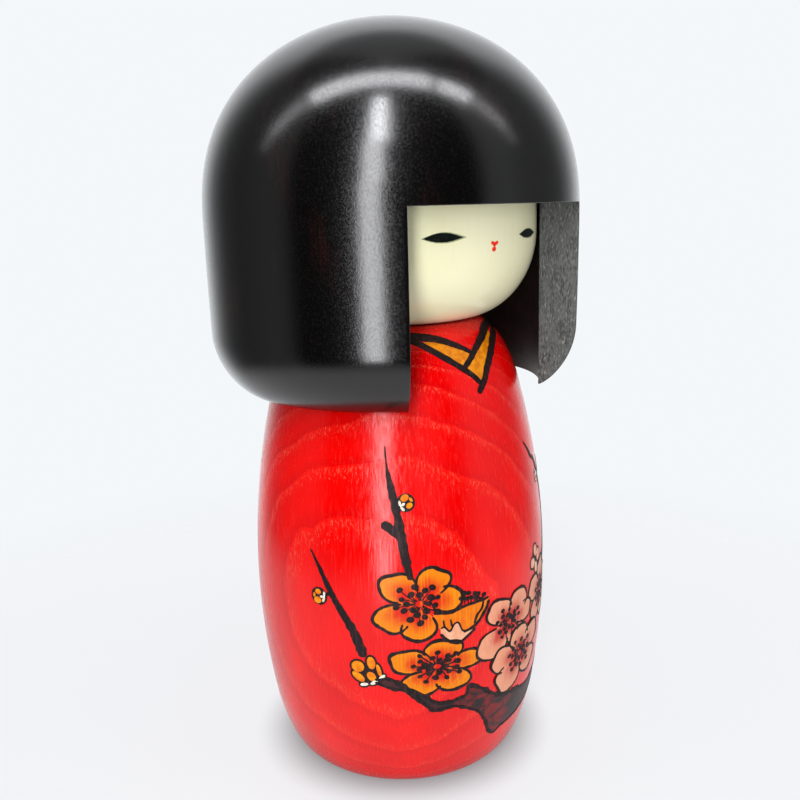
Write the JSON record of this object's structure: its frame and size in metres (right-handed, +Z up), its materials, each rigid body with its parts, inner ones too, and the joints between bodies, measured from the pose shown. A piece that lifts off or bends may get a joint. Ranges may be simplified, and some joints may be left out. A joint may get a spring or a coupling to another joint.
{
  "type": "kokeshi doll",
  "caption": "Turned wooden kokeshi doll: barrel body, face block in a bobbed hair shell with an open face window, and a head that turns on a neck dowel.",
  "frame": {"origin": "middle of the flat base, on the turning axis", "axes": "+Z up along the turning axis; the face looks along -Y at rest; +X is the doll's left"},
  "size_m": [0.12, 0.1199, 0.24],
  "materials": {
    "painted_body": "red stain under satin clear lacquer, open grain showing, with a painted plum branch, blossoms and kimono collar",
    "painted_face": "opaque cream paint under gloss clear lacquer, with small painted eyes and mouth",
    "lacquered_hair": "black stained lacquer, satin gloss, with fine open pores; the sawn window faces are dry grey-black",
    "bare_wood": "bare turned hardwood"
  },
  "bodies": {
    "lower_body": {"body": "painted_body", "neck_dowel": "bare_wood"},
    "head": {"face_block": "painted_face", "hair_shell": "lacquered_hair"}
  },
  "joints": [
    {"name": "head_turn", "type": "hinge", "parent": "lower_body", "child": "head", "pos_m": [0, 0, 0.1477], "axis": [0, 0, 1], "continuous": true}
  ]
}
